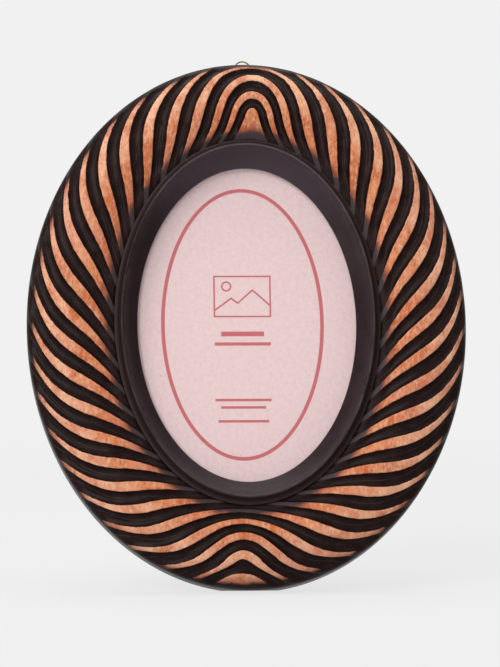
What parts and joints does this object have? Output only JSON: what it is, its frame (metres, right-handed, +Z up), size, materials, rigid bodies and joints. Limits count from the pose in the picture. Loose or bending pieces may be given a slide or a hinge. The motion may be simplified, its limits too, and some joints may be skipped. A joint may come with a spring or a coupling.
{
  "type": "oval picture frame",
  "caption": "Oval carved-wood photo frame with a dark liner, glass, clip-in back, folding easel strut and a hanging ring.",
  "frame": {"origin": "middle of the small flat under the bottom edge, on the table", "axes": "+Z up, face of the frame towards -Y and leaning back, strut towards +Y, +X to the right of the face as seen"},
  "size_m": [0.235, 0.0978, 0.2809],
  "materials": {
    "carved_wood": "carved, grooves painted dark, ridges left bare under satin lacquer",
    "dark_liner": "satin dark brown paint",
    "window_glass": "clear",
    "printed_card": "matt pale pink card",
    "grey_board": "matt",
    "hardboard": "dark stained hardboard",
    "plated_steel": "zinc plated",
    "hinge_brass": "brass plated sheet",
    "hanger_brass": "aged brass"
  },
  "bodies": {
    "frame": {"carved_frame": "carved_wood", "sight_liner": "dark_liner", "glass_pane": "window_glass", "photo_card": "printed_card", "filler_board": "grey_board", "back_panel": "hardboard", "turn_button_screws": "plated_steel", "strut_head_block": "hardboard", "hinge_fixed_leaf": "hinge_brass", "hinge_pin": "plated_steel", "head_rivets": "hinge_brass", "hanger_strap": "hanger_brass", "hanger_screw": "hanger_brass"},
    "strut": {"strut_leg": "hardboard", "hinge_moving_leaf": "hinge_brass", "leg_rivets": "hinge_brass"},
    "hanging_ring": {"hanger_ring": "hanger_brass"},
    "turn_button_upper_right": {"turn_button_upper_right": "plated_steel"},
    "turn_button_lower_right": {"turn_button_lower_right": "plated_steel"},
    "turn_button_lower_left": {"turn_button_lower_left": "plated_steel"},
    "turn_button_upper_left": {"turn_button_upper_left": "plated_steel"}
  },
  "joints": [
    {"name": "strut_hinge", "type": "hinge", "parent": "frame", "child": "strut", "pos_m": [0, 0.05029, 0.15649], "axis": [1, 0, 0], "range_deg": [-26, 0]},
    {"name": "ring_swing", "type": "hinge", "parent": "frame", "child": "hanging_ring", "pos_m": [0, 0.07785, 0.27231], "axis": [-1, 0, 0], "range_deg": [-20, 165]},
    {"name": "turn_button_upper_right_turn", "type": "hinge", "parent": "frame", "child": "turn_button_upper_right", "pos_m": [0.05535, 0.05669, 0.19971], "axis": [0, -0.9659, 0.2588], "continuous": true},
    {"name": "turn_button_lower_right_turn", "type": "hinge", "parent": "frame", "child": "turn_button_lower_right", "pos_m": [0.05535, 0.02309, 0.07433], "axis": [0, -0.9659, 0.2588], "continuous": true},
    {"name": "turn_button_lower_left_turn", "type": "hinge", "parent": "frame", "child": "turn_button_lower_left", "pos_m": [-0.05535, 0.02309, 0.07433], "axis": [0, -0.9659, 0.2588], "continuous": true},
    {"name": "turn_button_upper_left_turn", "type": "hinge", "parent": "frame", "child": "turn_button_upper_left", "pos_m": [-0.05535, 0.05669, 0.19971], "axis": [0, -0.9659, 0.2588], "continuous": true}
  ]
}
